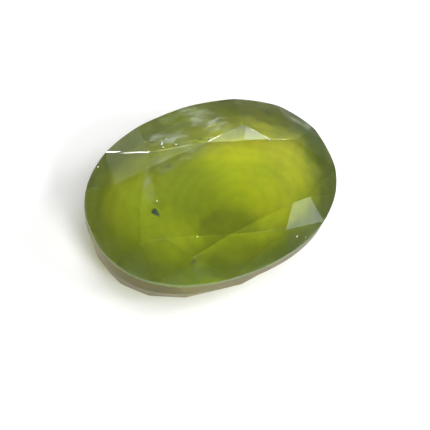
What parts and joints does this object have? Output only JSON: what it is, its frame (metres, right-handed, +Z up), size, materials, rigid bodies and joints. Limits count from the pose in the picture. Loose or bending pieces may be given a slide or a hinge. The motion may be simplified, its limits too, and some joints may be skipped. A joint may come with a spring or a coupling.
{
  "type": "oval faceted gemstone",
  "caption": "Oval cut green gemstone with a flat table, a faceted crown, a thin girdle, a deep bulging belly and a small off-centre flat culet, as one clear solid.",
  "frame": {"origin": "on the plane of the culet, the small flat facet the stone stands on, straight under the middle of the girdle", "axes": "+X along the stone's length, towards the end nearer the culet; +Y across it, towards the side away from the culet; +Z up, out of the table"},
  "size_m": [0.014, 0.01, 0.0061],
  "materials": {
    "gemstone": "polished, clear olive green with a soft, slightly milky inside"
  },
  "bodies": {
    "root": {"gemstone": "gemstone"}
  },
  "joints": []
}
